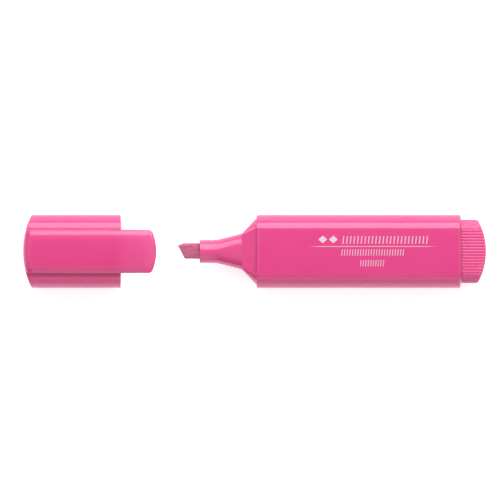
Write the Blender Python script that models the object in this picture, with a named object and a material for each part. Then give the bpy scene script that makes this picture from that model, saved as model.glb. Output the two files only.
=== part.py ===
"""A flat chisel-tip highlighter with its cap drawn off and lying in line with the pen.

Frame: metres, +Z up. The pen lies on a table along X with its nib towards -X. The origin is the
centre of the barrel's flat back face, which rests on the table. Run with
blender --background --python part.py
"""

import math

import bmesh
import bpy

MM = 0.001

# Driving sizes of the flat-oval section that the barrel and the cap share
WIDTH = 25.0 * MM
THICKNESS = 15.5 * MM
SIDE_RADIUS = 7.4 * MM
EDGE_RADIUS = 3.6 * MM
EDGE_TURN = math.radians(40)  # how far the edge radius turns before the side radius takes over
AXIS_Z = THICKNESS / 2

# Driving lengths along the pen
BARREL_LENGTH = 69.6 * MM
BARREL_FRONT = -BARREL_LENGTH / 2
BARREL_REAR = BARREL_LENGTH / 2
SHOULDER_LENGTH = 5.1 * MM
CONE_LENGTH = 8.7 * MM
NOZZLE_LENGTH = 5.65 * MM
NIB_REACH = 7.25 * MM
HEAD_LENGTH = 8.5 * MM
SKIRT_LENGTH = 33.2 * MM
CAP_TRAVEL = 46.3 * MM  # from the drawn-off place to the closed one
STOP_GAP = 0.1 * MM  # left between the closed cap and the barrel

# Walls and clearances
BARREL_WALL = 1.5 * MM
REAR_ROUND = 1.0 * MM
REAR_LIP_WALL = 2.0 * MM
CAP_WALL = 0.9 * MM
SEAT_GAP = 0.1 * MM

# Front section
NOZZLE_RADIUS = 3.95 * MM
CONE_HALF = 6.15 * MM  # the cone ends in a square of this half width, whose corners keep the nozzle's radius
SHOULDER_INSET = 1.0 * MM
SPIGOT_INSET = BARREL_WALL + SEAT_GAP
SPIGOT_WALL = 0.9 * MM
SPIGOT_LENGTH = 8.5 * MM
NOZZLE_MOUTH = BARREL_FRONT - SHOULDER_LENGTH - CONE_LENGTH - NOZZLE_LENGTH
NOZZLE_ROOT = NOZZLE_MOUTH + NOZZLE_LENGTH
CONE_ROOT = NOZZLE_ROOT + CONE_LENGTH

# Chisel nib
NIB_WIDTH = 5.4 * MM
NIB_THICKNESS = 4.0 * MM
NIB_TIP = NOZZLE_MOUTH - NIB_REACH
NIB_LENGTH = 30.4 * MM
NIB_TIP_Y = 1.65 * MM
NIB_SLANT = 2.4 * MM  # how far the slanted writing edge runs back along the pen
NIB_CHAMFER = 1.95 * MM
NIB_CORNER = 0.5 * MM
NIB_EDGE = 2.2 * MM  # thickness of the writing edge
NIB_WEDGE = 4.6 * MM  # length over which the nib thins to its edge

# Ink reservoir
WRAP_INSET = 2.75 * MM
WRAP_WALL = 0.25 * MM
CORE_INSET = 3.1 * MM
RESERVOIR_FRONT = BARREL_FRONT - 1.2 * MM
RESERVOIR_REAR = BARREL_REAR - 8.8 * MM
TUBE_RADIUS = 0.75 * MM
TUBE_BORE = 0.45 * MM
TUBE_Y = 8.65 * MM

# End plug
HEAD_INSET = 1.7 * MM
RIB_DEPTH = 0.3 * MM
RIB_POINTS = 72  # per quarter of the outline, four to a rib
RIB_START = 0.7 * MM
HEAD_RIM = 0.8 * MM
HEAD_ROUND = 0.6 * MM
HEAD_ARC = 20.8 * MM
HEAD_END = BARREL_REAR + HEAD_LENGTH
PLUG_SPIGOT = 6.0 * MM
PLUG_WALL = 1.2 * MM
BEAD = 0.25 * MM
BEAD_X = BARREL_REAR - 3.0 * MM

# Cap
CAP_MOUTH = BARREL_FRONT - STOP_GAP - CAP_TRAVEL
CAP_END = CAP_MOUTH - SKIRT_LENGTH
CAP_ARC = 28.7 * MM
CAP_END_WALL = 1.3 * MM
END_FILLET = 0.4 * MM
PANEL_HALF_WIDTH = 7.37 * MM
PANEL_HEIGHT = 2.6 * MM
PANEL_DRAFT = 0.1 * MM
PANEL_ROUND = 1.2 * MM
CLIP_LENGTH = 12.2 * MM
CLIP_THICKNESS = 1.6 * MM
CLIP_ARC = 17.0 * MM
CLIP_GAP = 0.3 * MM
RIDGE_SETBACK = 3.8 * MM
RIDGE_DEPTH = 0.9 * MM
LINER_RADIUS = 5.0 * MM
LINER_BORE = 4.05 * MM
LINER_MOUTH = CAP_MOUTH - 14.5 * MM
LINER_END = CAP_END + CAP_END_WALL + 0.7 * MM
LINER_END_WALL = 1.0 * MM
WEB_THICKNESS = 0.9 * MM
WEB_LENGTH = 13.0 * MM
COLLAR_LENGTH = 6.5 * MM
COLLAR_RADIUS = 6.0 * MM

PINK = (0.80, 0.080, 0.28)
NIB_PINK = (0.57, 0.14, 0.26)
INK_PINK = (0.75, 0.10, 0.30)
MILKY = (0.75, 0.72, 0.74)


# ---- The flat-oval outline ----

SIDE_FLAT = THICKNESS / 2 - SIDE_RADIUS * math.cos(EDGE_TURN) - EDGE_RADIUS * (1 - math.cos(EDGE_TURN))
FACE_HALF = WIDTH / 2 - SIDE_RADIUS * (1 - math.sin(EDGE_TURN)) - EDGE_RADIUS * math.sin(EDGE_TURN)
SIDE_ARC = SIDE_RADIUS * (math.pi / 2 - EDGE_TURN)
EDGE_ARC = EDGE_RADIUS * EDGE_TURN
QUARTER = SIDE_FLAT + SIDE_ARC + EDGE_ARC + FACE_HALF


def quarter_point(distance):
    """(y, z, normal y, normal z) at a distance along the outline's quarter, from mid side to mid face."""
    if distance <= SIDE_FLAT:
        return WIDTH / 2, distance, 1.0, 0.0
    distance -= SIDE_FLAT
    if distance <= SIDE_ARC:
        turn = distance / SIDE_RADIUS
        y = WIDTH / 2 - SIDE_RADIUS * (1 - math.cos(turn))
        return y, SIDE_FLAT + SIDE_RADIUS * math.sin(turn), math.cos(turn), math.sin(turn)
    distance -= SIDE_ARC
    if distance <= EDGE_ARC:
        lean = EDGE_TURN - distance / EDGE_RADIUS
        y = FACE_HALF + EDGE_RADIUS * math.sin(lean)
        return y, THICKNESS / 2 - EDGE_RADIUS * (1 - math.cos(lean)), math.sin(lean), math.cos(lean)
    return FACE_HALF - (distance - EDGE_ARC), THICKNESS / 2, 0.0, 1.0


def full_outline(quarter):
    """A quarter's samples mirrored into the whole loop. A sample on the middle of the face isn't doubled."""
    on_centre = abs(quarter[-1][0]) < 1e-9
    left = [(-y, z, -ny, nz) for y, z, ny, nz in reversed(quarter[:-1] if on_centre else quarter)]
    upper = quarter + left
    lower = [(y, -z, ny, -nz) for y, z, ny, nz in reversed(upper)]
    return upper + lower


def oval_samples(side_steps=4, edge_steps=3):
    """The outline's samples. Those on the broad faces include the lines where the cap's panel rises."""
    distances = [SIDE_FLAT + SIDE_ARC * i / side_steps for i in range(side_steps)]
    distances += [SIDE_FLAT + SIDE_ARC + EDGE_ARC * i / edge_steps for i in range(edge_steps + 1)]
    quarter = [quarter_point(d) for d in distances]
    panel_lines = (PANEL_HALF_WIDTH, PANEL_HALF_WIDTH - PANEL_DRAFT, PANEL_HALF_WIDTH - PANEL_ROUND)
    inner_lines = (4.6 * MM, 2.3 * MM, 0.0)
    return full_outline(quarter + [(y, THICKNESS / 2, 0.0, 1.0) for y in panel_lines + inner_lines])


OVAL = oval_samples()


def oval_ring(x, inset, samples=OVAL):
    """A ring of the outline, shrunk by inset, across the pen at x. A function for x bends the ring."""
    place = x if callable(x) else lambda y: x
    flat = [(y - inset * ny, z - inset * nz) for y, z, ny, nz in samples]
    return [(place(y), y, AXIS_Z + z) for y, z in flat]


def polar_ring(x, radius):
    """A ring whose radius may depend on the polar angle, with as many points as the oval."""
    reach = radius if callable(radius) else lambda angle: radius
    angles = [math.atan2(z - SHOULDER_INSET * nz, y - SHOULDER_INSET * ny) for y, z, ny, nz in OVAL]
    return [(x, reach(a) * math.cos(a), AXIS_Z + reach(a) * math.sin(a)) for a in angles]


def rounded_square(half, corner):
    """Polar radius of a square with round corners."""
    centre = half - corner

    def radius(angle):
        across = abs(math.cos(angle))
        up = abs(math.sin(angle))
        flat = half / max(across, up)
        if flat * min(across, up) <= centre:
            return flat
        along = centre * (across + up)
        return along + math.sqrt(along * along - 2 * centre * centre + corner * corner)
    return radius


def slot_radius(half_width, half_height, power=8):
    """Polar radius of a rectangle with rounded corners, as a superellipse."""
    def radius(angle):
        across = abs(math.cos(angle)) / half_width
        up = abs(math.sin(angle)) / half_height
        return (across**power + up**power) ** (-1 / power)
    return radius


def circle_ring(x, radius, y=0.0, steps=32):
    angles = [2 * math.pi * i / steps for i in range(steps)]
    return [(x, y + radius * math.cos(a), AXIS_Z + radius * math.sin(a)) for a in angles]


def sagitta(arc, y):
    """How far an arc of that radius has dropped at y from its crown."""
    return arc - math.sqrt(arc * arc - y * y)


def rounding(radius, steps):
    """(setback, inset) pairs that carry a side round onto an end face."""
    turns = [math.pi / 2 * i / steps for i in range(steps + 1)]
    return [(radius * (1 - math.sin(turn)), radius * (1 - math.cos(turn))) for turn in turns]


# ---- Mesh building ----

def add_rings(bm, rings, cyclic=False):
    """Faces between each ring and the next. Returns the rings as vertices."""
    made = [[bm.verts.new(p) for p in ring] for ring in rings]
    pairs = list(zip(made, made[1:]))
    if cyclic:
        pairs.append((made[-1], made[0]))
    for near, far in pairs:
        for i in range(len(near)):
            j = (i + 1) % len(near)
            bm.faces.new((near[i], near[j], far[j], far[i]))
    return made


def close_with_strips(bm, ring):
    """Closes a bent ring with strips between its upper and lower halves."""
    half = len(ring) // 2
    last = len(ring) - 1
    side = sum(abs(vert.co.y - ring[0].co.y) < 1e-9 for vert in ring[:half])  # points on the straight side
    stops = [0, *range(side, half - side), half - 1]
    for near, far in zip(stops, stops[1:]):
        bm.faces.new(ring[near : far + 1] + ring[last - far : last - near + 1])


def plastic(name, colour, roughness):
    material = bpy.data.materials.new(name)
    material.use_nodes = True
    shader = material.node_tree.nodes["Principled BSDF"]
    shader.inputs["Base Color"].default_value = (*colour, 1.0)
    shader.inputs["Roughness"].default_value = roughness
    shader.inputs["Metallic"].default_value = 0.0
    return material


def finish_mesh(bm, name):
    bmesh.ops.remove_doubles(bm, verts=bm.verts, dist=1e-7)
    bmesh.ops.recalc_face_normals(bm, faces=bm.faces)
    mesh = bpy.data.meshes.new(name)
    bm.to_mesh(mesh)
    bm.free()
    return mesh


def add_object(name, bm, material=None, parent=None):
    mesh = finish_mesh(bm, name)
    if material:
        mesh.materials.append(material)
        mesh.shade_smooth()
        mesh.set_sharp_from_angle(angle=math.radians(35))
    obj = bpy.data.objects.new(name, mesh)
    bpy.context.scene.collection.objects.link(obj)
    if parent:
        bpy.context.view_layer.update()
        obj.parent = parent
        obj.matrix_parent_inverse = parent.matrix_world.inverted()
    return obj


def add_box(name, low, high):
    """A box between two corners, as a helper that a Boolean reads."""
    bm = bmesh.new()
    bmesh.ops.create_cube(bm, size=1.0)
    for vert in bm.verts:
        vert.co = [(a + b) / 2 + c * (b - a) for a, b, c in zip(low, high, vert.co)]
    return as_helper(add_object(name, bm))


def as_helper(obj):
    obj.hide_render = True
    obj.display_type = "WIRE"
    return obj


def combine(obj, helper, operation="UNION"):
    modifier = obj.modifiers.new(helper.name, "BOOLEAN")
    modifier.operation = operation
    modifier.object = helper


def body_empty(name, x, z):
    empty = bpy.data.objects.new(name, None)
    empty.location = (x, 0.0, z)
    bpy.context.scene.collection.objects.link(empty)
    bpy.context.view_layer.update()
    return empty


# ---- The pen ----

def make_barrel(material, parent):
    """The flat-oval tube, open at both ends, with fins that centre the reservoir."""
    lead = 0.3 * MM
    round_front = 0.25 * MM
    groove = REAR_LIP_WALL - BEAD - SEAT_GAP / 2
    groove_half = 0.5 * MM
    lip_end = BARREL_REAR - PLUG_SPIGOT - 1.0 * MM
    rings = [oval_ring(BARREL_FRONT, round_front), oval_ring(BARREL_FRONT + round_front, 0.0)]
    rings += [oval_ring(BARREL_REAR - back, shrink) for back, shrink in rounding(REAR_ROUND, 3)]
    rings += [
        oval_ring(BARREL_REAR, REAR_LIP_WALL - lead),
        oval_ring(BARREL_REAR - lead, REAR_LIP_WALL),
        oval_ring(BEAD_X + groove_half, REAR_LIP_WALL),
        oval_ring(BEAD_X + groove_half / 2, groove),
        oval_ring(BEAD_X - groove_half / 2, groove),
        oval_ring(BEAD_X - groove_half, REAR_LIP_WALL),
        oval_ring(lip_end, REAR_LIP_WALL),
        oval_ring(lip_end - 0.5 * MM, BARREL_WALL),
        oval_ring(BARREL_FRONT + lead, BARREL_WALL),
        oval_ring(BARREL_FRONT, BARREL_WALL - lead / 2),
    ]
    bm = bmesh.new()
    add_rings(bm, rings, cyclic=True)
    barrel = add_object("barrel_shell", bm, material, parent)
    add_reservoir_fins(barrel)
    return barrel


def add_reservoir_fins(barrel):
    half = 0.4 * MM
    bite = 0.6 * MM
    reach = WRAP_INSET - SEAT_GAP
    near = BARREL_FRONT + SPIGOT_LENGTH + 2.0 * MM
    far = BARREL_REAR - 10.0 * MM
    root = BARREL_WALL - bite
    for y in (-5.0 * MM, 5.0 * MM):
        floor = (near, y - half, root), (far, y + half, reach)
        roof = (near, y - half, THICKNESS - reach), (far, y + half, THICKNESS - root)
        combine(barrel, add_box(f"floor_fin_{y:+.3f}", *floor))
        combine(barrel, add_box(f"roof_fin_{y:+.3f}", *roof))
    for side in (-1, 1):
        ends = sorted((side * (WIDTH / 2 - root), side * (WIDTH / 2 - reach)))
        low = (near, ends[0], AXIS_Z - half)
        high = (far, ends[1], AXIS_Z + half)
        combine(barrel, add_box(f"side_fin_{side:+d}", low, high))


def make_front_section(material, parent):
    """Nozzle, cone and shoulder in one moulding, with a hollow spigot that plugs the barrel's mouth."""
    lip = 0.3 * MM
    base = BARREL_FRONT - SEAT_GAP
    land = 0.2 * MM
    spigot_end = BARREL_FRONT + SPIGOT_LENGTH
    inner = SPIGOT_INSET + SPIGOT_WALL
    seat = RESERVOIR_FRONT - 0.3 * MM
    bore = slot_radius(NIB_WIDTH / 2 + 2 * SEAT_GAP, NIB_THICKNESS / 2 + 2 * SEAT_GAP)
    rings = [
        polar_ring(NOZZLE_MOUTH, NOZZLE_RADIUS - lip),
        polar_ring(NOZZLE_MOUTH + lip, NOZZLE_RADIUS),
        polar_ring(NOZZLE_ROOT, NOZZLE_RADIUS),
        polar_ring(CONE_ROOT, rounded_square(CONE_HALF, NOZZLE_RADIUS)),
        oval_ring(base - land, SHOULDER_INSET),
        oval_ring(base, SHOULDER_INSET),
        oval_ring(base, SPIGOT_INSET),
        oval_ring(spigot_end - lip, SPIGOT_INSET),
        oval_ring(spigot_end, SPIGOT_INSET + lip),
        oval_ring(spigot_end, inner),
        oval_ring(seat, inner),
        polar_ring(CONE_ROOT + 1.0 * MM, CONE_HALF - 1.35 * MM),
        polar_ring(NOZZLE_ROOT + 2.0 * MM, NOZZLE_RADIUS - 0.5 * MM),
        polar_ring(NOZZLE_ROOT, bore),
        polar_ring(NOZZLE_MOUTH, bore),
    ]
    bm = bmesh.new()
    add_rings(bm, rings, cyclic=True)
    return add_object("front_section", bm, material, parent)


def nib_section(place, inset, half_thickness):
    """A ring across the nib: a rectangle with cut corners. place gives x at each y."""
    half = NIB_WIDTH / 2 - inset
    corner = NIB_CORNER
    outline = [(half, half_thickness - corner), (half - corner, half_thickness), (NIB_TIP_Y, half_thickness)]
    outline += [(corner - half, half_thickness), (-half, half_thickness - corner)]
    outline += [(y, -z) for y, z in reversed(outline)]
    return [(place(y), y, AXIS_Z + z) for y, z in outline]


def nib_cut(y):
    """Where the slanted writing edge, and the chamfer above its tip, stand at y."""
    half = NIB_WIDTH / 2
    if y > NIB_TIP_Y:
        return NIB_TIP + NIB_CHAMFER * (y - NIB_TIP_Y) / (half - NIB_TIP_Y)
    return NIB_TIP + NIB_SLANT * (NIB_TIP_Y - y) / (half + NIB_TIP_Y)


def make_nib(material, parent):
    """The felt chisel: a bar that thins to a slanted writing edge, with a tapered tail."""
    full = NIB_THICKNESS / 2
    blunt = 0.2 * MM
    taper = 0.9 * MM
    tail = NIB_TIP + NIB_LENGTH
    rings = [
        nib_section(nib_cut, blunt, NIB_EDGE / 2 - blunt / 2),
        nib_section(lambda y: nib_cut(y) + blunt, 0.0, NIB_EDGE / 2),
        nib_section(lambda y: nib_cut(y) + NIB_WEDGE, 0.0, full),
        nib_section(lambda y: tail - taper, 0.0, full),
        nib_section(lambda y: tail, taper / 2, full - taper / 2),
    ]
    bm = bmesh.new()
    made = add_rings(bm, rings)
    close_with_strips(bm, made[0])
    close_with_strips(bm, made[-1])
    return add_object("chisel_nib", bm, material, parent)


def make_reservoir_core(material, parent):
    """The fibre bundle, with a pocket for the nib's tail and a groove for the breather tube."""
    edge = 0.3 * MM
    pocket = slot_radius(NIB_WIDTH / 2 + SEAT_GAP, NIB_THICKNESS / 2 + SEAT_GAP)
    pocket_end = NIB_TIP + NIB_LENGTH + SEAT_GAP
    rings = [
        polar_ring(pocket_end, pocket),
        polar_ring(RESERVOIR_FRONT, pocket),
        oval_ring(RESERVOIR_FRONT, CORE_INSET + edge),
        oval_ring(RESERVOIR_FRONT + edge, CORE_INSET),
        oval_ring(RESERVOIR_REAR - edge, CORE_INSET),
        oval_ring(RESERVOIR_REAR, CORE_INSET + edge),
    ]
    bm = bmesh.new()
    made = add_rings(bm, rings)
    close_with_strips(bm, made[0])
    close_with_strips(bm, made[-1])
    core = add_object("reservoir_core", bm, material, parent)
    combine(core, make_tube_groove(), "DIFFERENCE")
    return core


def make_tube_groove():
    overrun = 2.0 * MM
    ends = (RESERVOIR_FRONT - overrun, RESERVOIR_REAR + overrun)
    bm = bmesh.new()
    made = add_rings(bm, [circle_ring(x, TUBE_RADIUS + 0.15 * MM, TUBE_Y, 16) for x in ends])
    bm.faces.new(made[0])
    bm.faces.new(made[-1])
    return as_helper(add_object("tube_groove", bm))


def make_reservoir_wrap(material, parent):
    """The film sleeve round the fibre bundle, open at both ends."""
    setback = 0.1 * MM
    near = RESERVOIR_FRONT + setback
    far = RESERVOIR_REAR - setback
    rings = [
        oval_ring(near, WRAP_INSET),
        oval_ring(far, WRAP_INSET),
        oval_ring(far, WRAP_INSET + WRAP_WALL),
        oval_ring(near, WRAP_INSET + WRAP_WALL),
    ]
    bm = bmesh.new()
    add_rings(bm, rings, cyclic=True)
    return add_object("reservoir_wrap", bm, material, parent)


def make_breather_tube(material, parent):
    """The capillary that lets air back past the reservoir as ink leaves."""
    near = RESERVOIR_FRONT
    far = RESERVOIR_REAR + 1.0 * MM
    outer = [circle_ring(x, TUBE_RADIUS, TUBE_Y, 16) for x in (near, far)]
    inner = [circle_ring(x, TUBE_BORE, TUBE_Y, 16) for x in (far, near)]
    bm = bmesh.new()
    add_rings(bm, outer + inner, cyclic=True)
    return add_object("breather_tube", bm, material, parent)


def plug_ring(x, inset, ribbed=True):
    """The outline cut into ribs: two points on each crest, then two in each valley. Plain if not ribbed."""
    quarter = []
    for i in range(RIB_POINTS):
        y, z, ny, nz = quarter_point(QUARTER * (i + 0.5) / RIB_POINTS)
        sunk = RIB_DEPTH if ribbed and (i + 1) // 2 % 2 else 0.0
        quarter.append((y - sunk * ny, z - sunk * nz, ny, nz))
    return oval_ring(x, inset, full_outline(quarter))


def make_end_plug(material, parent):
    """The ribbed head behind the barrel, with a hollow spigot that snaps into the barrel's rear."""
    def end_at(distance):
        return lambda y: HEAD_END - distance - sagitta(HEAD_ARC, y)

    base = BARREL_REAR + SEAT_GAP
    run_out = 0.35 * MM
    rings = [
        plug_ring(base, HEAD_INSET, ribbed=False),
        plug_ring(base + RIB_START, HEAD_INSET, ribbed=False),
        plug_ring(base + RIB_START + run_out, HEAD_INSET),
        plug_ring(end_at(HEAD_RIM + run_out), HEAD_INSET),
        plug_ring(end_at(HEAD_RIM), HEAD_INSET, ribbed=False),
    ]
    for back, shrink in rounding(HEAD_ROUND, 3):
        rings.append(plug_ring(end_at(back), HEAD_INSET + shrink, ribbed=False))
    bm = bmesh.new()
    made = add_rings(bm, rings)
    close_with_strips(bm, made[0])
    close_with_strips(bm, made[-1])
    plug = add_object("end_plug", bm, material, parent)
    combine(plug, make_plug_spigot())
    combine(plug, make_plug_hollow(), "DIFFERENCE")
    return plug


def make_plug_spigot():
    snug = REAR_LIP_WALL + SEAT_GAP / 2
    lead = 0.4 * MM
    half = 0.35 * MM
    start = BARREL_REAR - PLUG_SPIGOT
    bm = bmesh.new()
    made = add_rings(bm, [
        oval_ring(start, snug + lead),
        oval_ring(start + lead, snug),
        oval_ring(BEAD_X - half, snug),
        oval_ring(BEAD_X, snug - BEAD),
        oval_ring(BEAD_X + half, snug),
        oval_ring(BARREL_REAR + 0.6 * MM, snug),
    ])
    close_with_strips(bm, made[0])
    close_with_strips(bm, made[-1])
    return as_helper(add_object("plug_spigot", bm))


def make_plug_hollow():
    inset = REAR_LIP_WALL + PLUG_WALL
    bm = bmesh.new()
    ends = (BARREL_REAR - PLUG_SPIGOT - 1.0 * MM, BARREL_REAR + 2.5 * MM)
    made = add_rings(bm, [oval_ring(x, inset) for x in ends])
    close_with_strips(bm, made[0])
    close_with_strips(bm, made[-1])
    return as_helper(add_object("plug_hollow", bm))


# ---- The cap ----

def fillet_drop(radius, distance):
    """How far a rounded edge of that radius has dropped at a distance short of the end."""
    short = max(0.0, radius - distance)
    return radius - math.sqrt(radius * radius - short * short)


def panel_ring(x, distance=1.0):
    """The cap's outline with the clip panel raised on its upper face, at a distance from the closed end."""
    shrink = fillet_drop(END_FILLET, distance)
    height = PANEL_HEIGHT + shrink - fillet_drop(END_FILLET + PANEL_HEIGHT, distance)
    ring = []
    for (y, z, ny, nz), point in zip(OVAL, oval_ring(x, shrink)):
        inside = PANEL_HALF_WIDTH - abs(y)
        rise = 0.0
        if nz == 1.0 and inside > PANEL_DRAFT / 2:
            rise = height if inside > PANEL_ROUND / 2 else height * (1 - PANEL_ROUND / PANEL_HEIGHT)
        ring.append((point[0], point[1], point[2] + rise))
    return ring


def make_cap_shell(material, parent):
    """The cap: a flat-oval cup whose closed end is an arc, with the clip's raised panel on top."""
    def end_at(distance):
        return lambda y: CAP_END + distance + sagitta(CAP_ARC, y)

    lip = 0.25 * MM
    distances = (0.0, 0.06 * MM, 0.2 * MM, END_FILLET, 1.1 * MM, END_FILLET + PANEL_HEIGHT)
    rings = [panel_ring(end_at(d), d) for d in distances]
    rings.append(panel_ring(CAP_MOUTH))
    rings.append(oval_ring(CAP_MOUTH, CAP_WALL - lip))
    rings.append(oval_ring(CAP_MOUTH - lip, CAP_WALL))
    rings.append(oval_ring(end_at(CAP_END_WALL), CAP_WALL))
    bm = bmesh.new()
    made = add_rings(bm, rings)
    close_with_strips(bm, made[0])
    close_with_strips(bm, made[-1])
    shell = add_object("cap_shell", bm, material, parent)
    add_liner_holder(shell)
    return shell


def add_liner_holder(shell):
    """A collar on four webs inside the closed end, which grips the liner."""
    grip = LINER_RADIUS + SEAT_GAP
    start = CAP_END + CAP_END_WALL / 2
    inner_face = CAP_END + CAP_END_WALL
    half = WEB_THICKNESS / 2
    bite = CAP_WALL / 2
    bm = bmesh.new()
    collar_end = inner_face + COLLAR_LENGTH
    outer = [circle_ring(x, COLLAR_RADIUS) for x in (start, collar_end)]
    inner = [circle_ring(x, grip) for x in (collar_end, start)]
    add_rings(bm, outer + inner, cyclic=True)
    combine(shell, as_helper(add_object("liner_collar", bm)))
    web_start = start + sagitta(CAP_ARC, WIDTH / 2)
    for side in (-1, 1):
        near, far = sorted((side * (grip + 0.2 * MM), side * (WIDTH / 2 - bite)))
        low = (web_start, near, AXIS_Z - half)
        high = (inner_face + WEB_LENGTH, far, AXIS_Z + half)
        combine(shell, add_box(f"side_web_{side:+d}", low, high))
        near, far = sorted((side * (grip + 0.2 * MM), side * (THICKNESS / 2 - bite)))
        low = (start, -half, AXIS_Z + near)
        high = (inner_face + WEB_LENGTH, half, AXIS_Z + far)
        combine(shell, add_box(f"face_web_{side:+d}", low, high))


def make_clip_tongue(material, parent):
    """The free end of the clip, which springs up from the cap's mouth over the barrel."""
    top = THICKNESS + PANEL_HEIGHT
    under = top - CLIP_THICKNESS
    layers = [(under, 0.0), (top - PANEL_ROUND, PANEL_DRAFT), (top, PANEL_ROUND)]
    bm = bmesh.new()
    made = add_rings(bm, [[(x, y, z) for x, y in tongue_outline(inset)] for z, inset in layers])
    bm.faces.new(made[0])
    bm.faces.new(made[-1])
    tongue = add_object("clip_tongue", bm, material, parent)
    combine(tongue, make_clip_ridge(under))
    return tongue


def tongue_outline(inset):
    """The tongue seen from above: a square root at the cap and a rounded free end."""
    half = PANEL_HALF_WIDTH - inset
    tip = CAP_MOUTH + CLIP_LENGTH - inset
    steps = 12
    outline = [(CAP_MOUTH + CLIP_GAP, -half)]
    for i in range(steps + 1):
        y = half * (2 * i / steps - 1)
        outline.append((tip - sagitta(CLIP_ARC, y), y))
    outline.append((CAP_MOUTH + CLIP_GAP, half))
    return outline


def make_clip_ridge(under):
    """The low ridge under the tongue's free end that grips a pocket or a page."""
    x = CAP_MOUTH + CLIP_LENGTH - RIDGE_SETBACK
    half = 5.0 * MM
    crest = 0.3 * MM
    foot = 0.6 * MM
    root = 0.3 * MM  # how far the ridge reaches up into the tongue
    profile = [(foot, root), (foot, 0.0), (crest, -RIDGE_DEPTH)]
    profile += [(-dx, dz) for dx, dz in reversed(profile)]
    bm = bmesh.new()
    made = add_rings(bm, [[(x + dx, y, under + dz) for dx, dz in profile] for y in (-half, half)])
    bm.faces.new(made[0])
    bm.faces.new(made[-1])
    return as_helper(add_object("clip_ridge", bm))


def make_inner_cap(material, parent):
    """The liner that seals round the nozzle when the cap is closed."""
    lead = 0.4 * MM
    floor = LINER_END + LINER_END_WALL
    rings = [
        circle_ring(LINER_END, LINER_RADIUS - lead),
        circle_ring(LINER_END + lead, LINER_RADIUS),
        circle_ring(LINER_MOUTH - lead / 2, LINER_RADIUS),
        circle_ring(LINER_MOUTH, LINER_RADIUS - lead / 2),
        circle_ring(LINER_MOUTH, LINER_BORE + lead),
        circle_ring(LINER_MOUTH - 2 * lead, LINER_BORE),
        circle_ring(floor, LINER_BORE - lead / 2),
    ]
    bm = bmesh.new()
    made = add_rings(bm, rings)
    bm.faces.new(made[0])
    bm.faces.new(made[-1])
    return add_object("inner_cap", bm, material, parent)


def clear_scene():
    for obj in list(bpy.data.objects):
        bpy.data.objects.remove(obj)


def main():
    clear_scene()
    body_pink = plastic("pink_plastic", PINK, 0.22)
    felt = plastic("nib_felt", NIB_PINK, 0.9)
    fibre = plastic("reservoir_fibre", INK_PINK, 0.95)
    film = plastic("wrap_film", MILKY, 0.35)
    liner = plastic("liner_plastic", MILKY, 0.4)

    pen = body_empty("pen_axis", 0.0, AXIS_Z)
    cap = body_empty("cap_axis", CAP_MOUTH, AXIS_Z)
    clip = body_empty("clip_root", CAP_MOUTH, THICKNESS + PANEL_HEIGHT - CLIP_THICKNESS / 2)
    clip.parent = cap
    clip.matrix_parent_inverse = cap.matrix_world.inverted()

    make_barrel(body_pink, pen)
    make_front_section(body_pink, pen)
    make_end_plug(body_pink, pen)
    make_nib(felt, pen)
    make_reservoir_core(fibre, pen)
    make_reservoir_wrap(film, pen)
    make_breather_tube(film, pen)
    make_cap_shell(body_pink, cap)
    make_inner_cap(liner, cap)
    make_clip_tongue(body_pink, clip)


main()
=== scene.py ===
import math

import bmesh
import bpy
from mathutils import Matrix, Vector, noise


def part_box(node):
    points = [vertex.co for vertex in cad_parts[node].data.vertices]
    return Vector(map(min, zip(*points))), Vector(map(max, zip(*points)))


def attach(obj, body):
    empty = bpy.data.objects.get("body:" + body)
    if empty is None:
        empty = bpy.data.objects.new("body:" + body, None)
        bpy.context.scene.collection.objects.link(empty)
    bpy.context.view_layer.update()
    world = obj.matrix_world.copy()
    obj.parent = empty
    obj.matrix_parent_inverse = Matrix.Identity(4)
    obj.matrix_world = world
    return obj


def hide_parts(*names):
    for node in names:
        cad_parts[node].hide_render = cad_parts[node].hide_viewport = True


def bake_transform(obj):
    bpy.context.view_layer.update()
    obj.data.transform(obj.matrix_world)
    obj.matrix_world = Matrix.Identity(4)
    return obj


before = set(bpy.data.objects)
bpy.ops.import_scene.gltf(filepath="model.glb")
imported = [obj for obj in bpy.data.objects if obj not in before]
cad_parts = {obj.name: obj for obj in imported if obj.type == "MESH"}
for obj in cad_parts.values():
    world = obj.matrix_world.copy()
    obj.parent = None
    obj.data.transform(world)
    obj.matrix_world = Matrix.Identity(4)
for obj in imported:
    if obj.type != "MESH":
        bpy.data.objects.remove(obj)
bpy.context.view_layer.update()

MM = 0.001

# ---- Places and sizes, from the frame ----

BARREL_LOW, BARREL_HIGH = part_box("barrel_shell")
FRONT_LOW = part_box("front_section")[0]
NIB_LOW, NIB_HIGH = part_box("chisel_nib")
PLUG_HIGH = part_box("end_plug")[1]
CAP_LOW, CAP_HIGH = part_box("cap_shell")
TONGUE_LOW, TONGUE_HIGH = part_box("clip_tongue")
LINER_LOW, LINER_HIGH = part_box("inner_cap")

WIDTH = BARREL_HIGH.y - BARREL_LOW.y
THICKNESS = BARREL_HIGH.z - BARREL_LOW.z
AXIS_Z = (BARREL_LOW.z + BARREL_HIGH.z) / 2
BARREL_FRONT = BARREL_LOW.x
BARREL_REAR = BARREL_HIGH.x
CAP_END = CAP_LOW.x
CAP_MOUTH = CAP_HIGH.x
PANEL_TOP = CAP_HIGH.z
PANEL_HEIGHT = PANEL_TOP - BARREL_HIGH.z
PANEL_HALF = (TONGUE_HIGH.y - TONGUE_LOW.y) / 2
TONGUE_TIP = TONGUE_HIGH.x

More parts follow.
